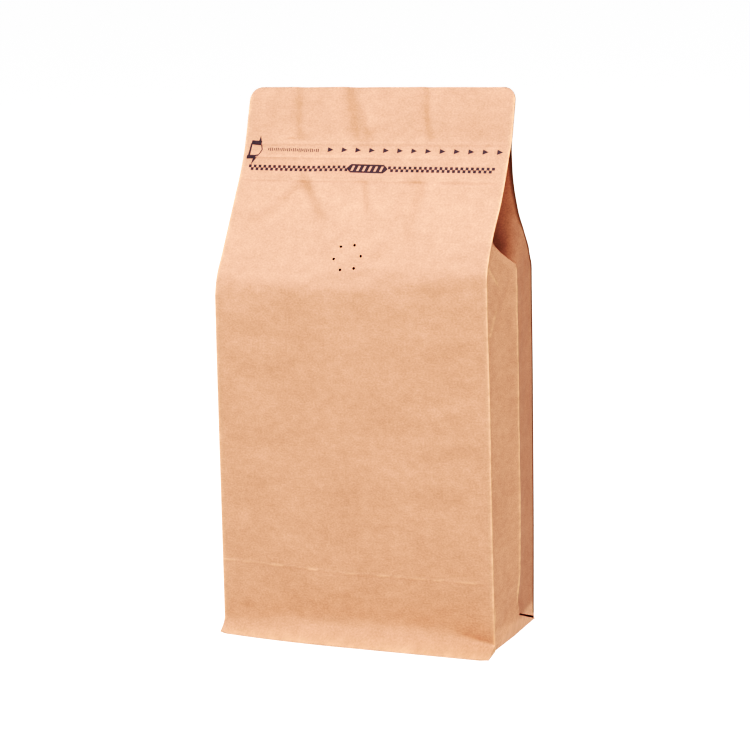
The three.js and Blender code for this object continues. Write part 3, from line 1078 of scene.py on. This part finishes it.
def set_flat_sheet(mesh, along, up):
    """Turns the grid's own 0 to 1 coordinates into places on the flat sheet, in metres."""
    sheet = mesh.uv_layers[0]
    sheet.name = "flat_sheet"
    places = np.zeros(len(sheet.data) * 2, np.float32)
    sheet.data.foreach_get("uv", places)
    places = places.reshape(-1, 2)
    column = np.rint(places[:, 0] * (len(along) - 1)).astype(int)
    row = np.rint(places[:, 1] * (len(up) - 1)).astype(int)
    places = np.stack([along[column], up[row]], axis=1) * MM
    sheet.data.foreach_set("uv", places.reshape(-1).astype(np.float32))


def set_attribute(mesh, name, values):
    layer = mesh.attributes.new(name, "FLOAT", "POINT")
    layer.data.foreach_set("value", values.reshape(-1).astype(np.float32))


class MESH_OT_coffee_bag_paper(bpy.types.Operator):
    """Builds the bag's paper shell with its gussets, lip, zip lines and pinholes"""

    bl_idname = "mesh.coffee_bag_paper"
    bl_label = "Paper Bag"
    bl_options = {"REGISTER", "UNDO"}

    def execute(self, context):
        sizes = context.scene.coffee_bag_mesh
        grid, along, up, in_gusset = shell_grid(
            sizes.front_columns, sizes.back_columns, sizes.gusset_columns
        )
        rows, columns = grid.shape[:2]
        bpy.ops.object.select_all(action="DESELECT")
        bpy.ops.mesh.primitive_grid_add(x_subdivisions=columns - 1, y_subdivisions=rows - 1, size=1)
        bag = context.object
        bag.name = bag.data.name = BAG_PIECE
        if len(bag.data.vertices) != rows * columns:
            raise RuntimeError("the grid has a different number of points from the shell")
        bag.data.vertices.foreach_set("co", to_frame(grid).reshape(-1).astype(np.float32))
        set_attribute(bag.data, "gusset", in_gusset)
        set_flat_sheet(bag.data, along, up)

        # The first column meets the last, and the base's middle is filled.
        only(bag)
        bpy.ops.object.mode_set(mode="EDIT")
        bpy.ops.mesh.select_all(action="SELECT")
        bpy.ops.mesh.remove_doubles(threshold=1e-7)
        bpy.ops.mesh.select_all(action="SELECT")
        bpy.ops.mesh.fill_holes(sides=0)
        bpy.ops.mesh.select_all(action="SELECT")
        bpy.ops.mesh.normals_make_consistent(inside=False)
        bpy.ops.object.mode_set(mode="OBJECT")

        bag.data.materials.append(kraft_paper(context.scene.coffee_bag_colours))
        drill_pinholes(bag, shadowed_hole())
        count = len(bag.data.vertices)
        points, on_gusset = np.zeros(count * 3), np.zeros(count)
        bag.data.vertices.foreach_get("co", points)
        bag.data.attributes["gusset"].data.foreach_get("value", on_gusset)
        x, y, z = points.reshape(-1, 3).T / MM
        y = y - ROW_SHIFT
        # Paleness of folds, edges, the crease and the lip: partly scuffed paper, partly painted
        # highlights.
        set_attribute(bag.data, "wear", wear_and_highlight_of(x, y, z))
        # The cut film, and painted shade down the back's sealed edges.
        set_attribute(bag.data, "cut_edge", cut_edge_and_shade_of(x, y, z))
        # Painted light and shade on the gussets, as a factor on the paper's colour.
        set_attribute(bag.data, "tone", np.where(on_gusset > 0.5, painted_light_and_shade_of(x, y, z), 1.0))
        finish_piece(bag)
        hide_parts(BAG_NODE)
        return {"FINISHED"}


# ---------------------------------------------------------------- the print

PRINT_START = -60.0  # marks are drawn this far in front, then pressed onto the paper
STRIP_HEIGHT = through(
    ((-63.6, 217.5), (-36.6, 217.7), (-12, 218.4), (9, 218.6), (30, 218.9), (62.5, 219.4))
)
CHEQUER_PITCH = 2.58
CHEQUER_SQUARE = (1.4, 1.22)
CHEQUER_ENDS = (-63.5, 62.5)
CHEQUER_OVERRUN = 0.4  # the last square may pass the strip's end by this
PLATE_ENDS = (-12.3, 8.6)
PLATE_HALF = 1.85
PLATE_TIP = 1.2  # length of the point at each end
PLATE_SLOPE = 1.0  # the plate's upper and lower edges are this much shorter at each end
PLATE_FRAME = 0.7  # what the plate keeps above and below its bars
BAR_COUNT = 6
BAR_HALF = 0.62
BAR_LEAN = 0.45
ARROW_ENDS = (-22.3, 62.9)
ARROW_COUNT = 13
ARROW_SIZE = (2.9, 2.2)
ARROW_HEIGHTS = (226.3, 227.2)
TICK_ENDS = (-54.8, -28.8)
TICK_COUNT = 27
TICK_WIDTH = 0.36
TICK_HEIGHT = 1.5
TICK_SHORT = 0.7  # every third tick has this share of the height
TICK_MIDDLE = 225.8
SIGN_MIDDLE = (-61.5, 225.6)
# Two curved arrows round an empty middle, each a bar with a pointed end, joined by lines.
SIGN = (
    ((-2.6, 2.2), (2.6, 1.9), (2.9, 3.8), (-2.4, 4.0)),
    ((1.2, 3.6), (3.1, 2.0), (1.9, 6.2)),
    ((-3.7, -3.4), (-2.7, -3.4), (-2.0, 2.6), (-2.8, 2.6)),
    ((-4.1, -4.3), (0.5, -4.1), (0.9, -2.5), (-4.0, -2.7)),
    ((-0.6, -4.0), (-1.3, -7.0), (2.4, -2.1), (0.4, -2.5)),
    ((2.6, 2.1), (3.1, 2.1), (3.7, -0.1), (3.2, -0.1)),
    ((3.2, -0.1), (3.7, -0.1), (2.4, -2.2), (1.9, -2.2)),
)


def press_on(obj, bag, lift, thickness):
    """Lays flat marks on the front of the paper and gives them a hair's thickness."""
    apply_modifier(
        obj,
        "SHRINKWRAP",
        target=bag,
        wrap_method="PROJECT",
        use_project_x=False,
        use_project_y=True,
        use_project_z=False,
        use_negative_direction=False,
        use_positive_direction=True,
        offset=lift,
    )
    apply_modifier(obj, "SOLIDIFY", thickness=thickness, offset=1.0)


def mark(points):
    """A flat mark from its corners in x and z, facing the front."""
    bpy.ops.object.select_all(action="DESELECT")
    bpy.ops.mesh.primitive_circle_add(vertices=len(points), fill_type="NGON")
    obj = bpy.context.object
    corners = [(x * MM, PRINT_START * MM, z * MM) for x, z in points]
    obj.data.vertices.foreach_set("co", np.array(corners, np.float32).reshape(-1))
    obj.data.update()
    return obj


def join_marks(marks, name):
    bpy.ops.object.select_all(action="DESELECT")
    for obj in marks:
        obj.select_set(True)
    bpy.context.view_layer.objects.active = marks[0]
    bpy.ops.object.join()
    obj = bpy.context.object
    obj.name = obj.data.name = name
    return obj


def finish_marks(context, marks, name, cuts=0):
    """Joins marks into one piece of ink that faces the front, and presses it on."""
    sizes = context.scene.coffee_bag_mesh
    obj = join_marks(marks, name)
    bpy.ops.object.mode_set(mode="EDIT")
    bpy.ops.mesh.select_all(action="SELECT")
    if cuts:
        bpy.ops.mesh.quads_convert_to_tris()
        bpy.ops.mesh.subdivide(number_cuts=cuts)
    bpy.ops.object.mode_set(mode="OBJECT")
    if obj.data.polygons[0].normal.y > 0:
        bpy.ops.object.mode_set(mode="EDIT")
        bpy.ops.mesh.flip_normals()
        bpy.ops.object.mode_set(mode="OBJECT")
    press_on(obj, bpy.data.objects[BAG_PIECE], sizes.ink_lift, sizes.ink_thickness)
    finish_piece(obj, sunk_ink(context.scene.coffee_bag_colours))


class MESH_OT_coffee_bag_chequer(bpy.types.Operator):
    """Prints the chequered strip along the zip"""

    bl_idname = "mesh.coffee_bag_chequer"
    bl_label = "Chequered Strip"
    bl_options = {"REGISTER", "UNDO"}

    def execute(self, context):
        marks = []
        wide, tall = CHEQUER_SQUARE
        start, end = CHEQUER_ENDS
        for index in range(int((end - start) / CHEQUER_PITCH) + 1):
            for row in (0, 1):
                x = start + (index + row / 2) * CHEQUER_PITCH
                at_plate = PLATE_ENDS[0] - wide * 0.6 < x < PLATE_ENDS[1] - wide * 0.4
                if at_plate or x + wide > end + CHEQUER_OVERRUN:
                    continue
                z = float(STRIP_HEIGHT(np.array(x))) - row * tall
                marks.append(mark(((x, z), (x + wide, z), (x + wide, z + tall), (x, z + tall))))
        finish_marks(context, marks, "print_chequer")
        return {"FINISHED"}


class MESH_OT_coffee_bag_arrows(bpy.types.Operator):
    """Prints the row of arrowheads along the tear line"""

    bl_idname = "mesh.coffee_bag_arrows"
    bl_label = "Arrowheads"
    bl_options = {"REGISTER", "UNDO"}

    def execute(self, context):
        length, height = ARROW_SIZE
        marks = []
        for index in range(ARROW_COUNT):
            share = index / (ARROW_COUNT - 1)
            x = mix(*ARROW_ENDS, share)
            z = mix(*ARROW_HEIGHTS, share)
            tail, tip = x - length / 2, x + length / 2
            marks.append(mark(((tail, z - height / 2), (tip, z), (tail, z + height / 2))))
        finish_marks(context, marks, "print_arrows")
        return {"FINISHED"}


class MESH_OT_coffee_bag_emblem(bpy.types.Operator):
    """Prints the tear sign at the left end and the short row of ticks beside it"""

    bl_idname = "mesh.coffee_bag_emblem"
    bl_label = "Tear Sign and Ticks"
    bl_options = {"REGISTER", "UNDO"}

    def execute(self, context):
        x0, z0 = SIGN_MIDDLE
        marks = [mark([(x0 + x, z0 + z) for x, z in outline]) for outline in SIGN]
        # Plain ticks, as on a rule.
        for index in range(TICK_COUNT):
            x = mix(*TICK_ENDS, index / (TICK_COUNT - 1))
            tall = TICK_HEIGHT if index % 3 else TICK_HEIGHT * TICK_SHORT
            low, high = TICK_MIDDLE - tall / 2, TICK_MIDDLE + tall / 2
            marks.append(mark(((x, low), (x + TICK_WIDTH, low), (x + TICK_WIDTH, high), (x, high))))
        finish_marks(context, marks, "print_emblem", cuts=3)
        return {"FINISHED"}


class MESH_OT_coffee_bag_plate(bpy.types.Operator):
    """Prints the dark plate in the middle of the strip, with plain slanted bars left bare"""

    bl_idname = "mesh.coffee_bag_plate"
    bl_label = "Plate"
    bl_options = {"REGISTER", "UNDO"}

    def execute(self, context):
        left, right = PLATE_ENDS
        middle = float(STRIP_HEIGHT(np.array((left + right) / 2)))
        bottom, top = middle - PLATE_HALF, middle + PLATE_HALF
        low, high = bottom + PLATE_FRAME, top - PLATE_FRAME
        inner_left, inner_right = left + PLATE_TIP, right - PLATE_TIP
        outer_left, outer_right = inner_left + PLATE_SLOPE, inner_right - PLATE_SLOPE
        # The plate is drawn round its bare bars: two points, a field below the bars and one above, two
        # wedges beside them, and then a field on both sides of each bar.
        fields = [
            ((left, middle), (inner_left, low), (inner_left, high)),
            ((inner_right, low), (right, middle), (inner_right, high)),
            ((inner_left, low), (outer_left, bottom), (outer_right, bottom), (inner_right, low)),
            ((inner_left, high), (inner_right, high), (outer_right, top), (outer_left, top)),
            ((inner_left, low), (inner_left + 2 * BAR_LEAN, high), (inner_left, high)),
            ((inner_right, high), (inner_right - 2 * BAR_LEAN, low), (inner_right, low)),
        ]
        start, end = inner_left + BAR_LEAN, inner_right - BAR_LEAN
        pitch = (end - start) / BAR_COUNT
        for index in range(BAR_COUNT + 1):
            centre = start + index * pitch
            field_start = start if index == 0 else centre - (pitch / 2 - BAR_HALF)
            field_end = end if index == BAR_COUNT else centre + (pitch / 2 - BAR_HALF)
            lower = ((field_start - BAR_LEAN, low), (field_end - BAR_LEAN, low))
            upper = ((field_end + BAR_LEAN, high), (field_start + BAR_LEAN, high))
            fields.append(lower + upper)
        finish_marks(context, [mark(field) for field in fields], "print_plate", cuts=8)
        return {"FINISHED"}


# ---------------------------------------------------------------- the stage

CAMERA_PLACE = Vector((449.68, -1143.65, 354.24))
CAMERA_FORWARD = Vector((-0.35975, 0.91423, -0.18644))
CAMERA_RIGHT = Vector((0.93172, 0.36265, -0.01951))
CAMERA_LENS = 127.576
SENSOR = 36.0  # mm, the width of the square frame

# Soft lights, as degrees round from the front towards the right, and degrees up. The stage's settings
# have their powers.
LIGHTS = {
    "key": (-5, 40),
    "top": (0, 86),
    "fill": (20, 35),
    "right": (90, 12),
    "left": (-115, 15),
    "back": (-165, 30),
}
LIGHT_AIM = Vector((0.0, 0.0, 0.13))
LIGHT_DISTANCE = 2.0
LIGHT_SIZE = 1.1

# The camera's tone curve as (light, brightness). Deep shades fall off and bright tones roll off softly.
TONE_CURVE = (
    (0.0, 0.0),
    (0.142, 0.03),
    (0.21, 0.1),
    (0.3, 0.25),
    (0.381, 0.4),
    (0.528, 0.6),
    (0.712, 0.8),
    (1.0, 1.0),
)


def develop(scene):
    """Gives the picture the tone curve."""
    view = scene.view_settings
    view.view_transform = "Standard"
    view.use_curve_mapping = True
    curve = view.curve_mapping.curves[3]
    for place, (light, brightness) in zip((0, 1), (TONE_CURVE[0], TONE_CURVE[-1])):
        curve.points[place].location = (light, brightness)
    for light, brightness in TONE_CURVE[1:-1]:
        curve.points.new(light, brightness)
    view.curve_mapping.update()


def soft_light(name, azimuth, elevation, power):
    """A square soft light. Azimuth 0 stands at the front and grows towards the right."""
    a, e = math.radians(azimuth), math.radians(elevation)
    place = LIGHT_AIM + LIGHT_DISTANCE * Vector(
        (math.sin(a) * math.cos(e), -math.cos(a) * math.cos(e), math.sin(e))
    )
    bpy.ops.object.light_add(type="AREA", location=place)
    light = bpy.context.object
    light.name = name
    light.rotation_euler = (LIGHT_AIM - place).to_track_quat("-Z", "Y").to_euler()
    light.data.shape = "SQUARE"
    light.data.size = LIGHT_SIZE
    light.data.energy = power


class SCENE_OT_coffee_bag_stage(bpy.types.Operator):
    """Adds the pale floor, the soft lights and the camera"""

    bl_idname = "scene.coffee_bag_stage"
    bl_label = "Studio Stage"
    bl_options = {"REGISTER", "UNDO"}

    def execute(self, context):
        stage = context.scene.coffee_bag_stage
        colours = context.scene.coffee_bag_colours
        bpy.ops.object.select_all(action="DESELECT")
        bpy.ops.mesh.primitive_plane_add(size=40, location=(0, 0, 0))
        floor = context.object
        floor.name = "floor"
        floor.data.materials.append(pale_floor(colours.floor, stage.floor_glow))
        for name, (azimuth, elevation) in LIGHTS.items():
            soft_light(f"{name}_light", azimuth, elevation, getattr(stage, f"{name}_power"))
        world = bpy.data.worlds.new("even_sky")
        world.use_nodes = True
        background = world.node_tree.nodes["Background"]
        background.inputs["Color"].default_value = (1.0, 1.0, 1.0, 1.0)
        background.inputs["Strength"].default_value = stage.sky
        context.scene.world = world
        develop(context.scene)

        bpy.ops.object.camera_add(location=(CAMERA_PLACE + Vector((0, ROW_SHIFT, 0))) * MM)
        camera = context.object
        camera.name = "camera"
        back, right = -CAMERA_FORWARD.normalized(), CAMERA_RIGHT.normalized()
        camera.rotation_euler = Matrix((right, back.cross(right), back)).transposed().to_euler()
        camera.data.sensor_width = SENSOR
        camera.data.sensor_fit = "HORIZONTAL"
        camera.data.lens = CAMERA_LENS
        camera.data.clip_start = 0.01
        camera.data.clip_end = 100
        context.scene.camera = camera
        return {"FINISHED"}


# ---------------------------------------------------------------- panel and registration

PIECE_OPERATORS = (
    MESH_OT_coffee_bag_paper,
    MESH_OT_coffee_bag_chequer,
    MESH_OT_coffee_bag_arrows,
    MESH_OT_coffee_bag_emblem,
    MESH_OT_coffee_bag_plate,
    SCENE_OT_coffee_bag_stage,
)


class VIEW3D_PT_coffee_bag(bpy.types.Panel):
    """Lists the bag's sizes, colours and pieces"""

    bl_idname = "VIEW3D_PT_coffee_bag"
    bl_label = "Coffee Bag"
    bl_space_type = "VIEW_3D"
    bl_region_type = "UI"
    bl_category = "Coffee Bag"

    def draw(self, context):
        scene = context.scene
        for group in (scene.coffee_bag_mesh, scene.coffee_bag_colours, scene.coffee_bag_stage):
            box = self.layout.box()
            for name in group.bl_rna.properties.keys():
                if name not in {"rna_type", "name"}:
                    box.prop(group, name)
        for operator in PIECE_OPERATORS:
            self.layout.operator(operator.bl_idname)


SETTINGS = {
    "coffee_bag_mesh": CoffeeBagMesh,
    "coffee_bag_colours": CoffeeBagColours,
    "coffee_bag_stage": CoffeeBagStage,
}
CLASSES = (*SETTINGS.values(), *PIECE_OPERATORS, VIEW3D_PT_coffee_bag)


def register():
    for cls in CLASSES:
        bpy.utils.register_class(cls)
    for name, group in SETTINGS.items():
        setattr(bpy.types.Scene, name, PointerProperty(type=group))


def unregister():
    for name in SETTINGS:
        delattr(bpy.types.Scene, name)
    for cls in reversed(CLASSES):
        bpy.utils.unregister_class(cls)


def main():
    register()
    bpy.ops.mesh.coffee_bag_paper()
    bpy.ops.mesh.coffee_bag_chequer()
    bpy.ops.mesh.coffee_bag_arrows()
    bpy.ops.mesh.coffee_bag_emblem()
    bpy.ops.mesh.coffee_bag_plate()
    bpy.ops.scene.coffee_bag_stage()


if __name__ == "__main__":
    main()
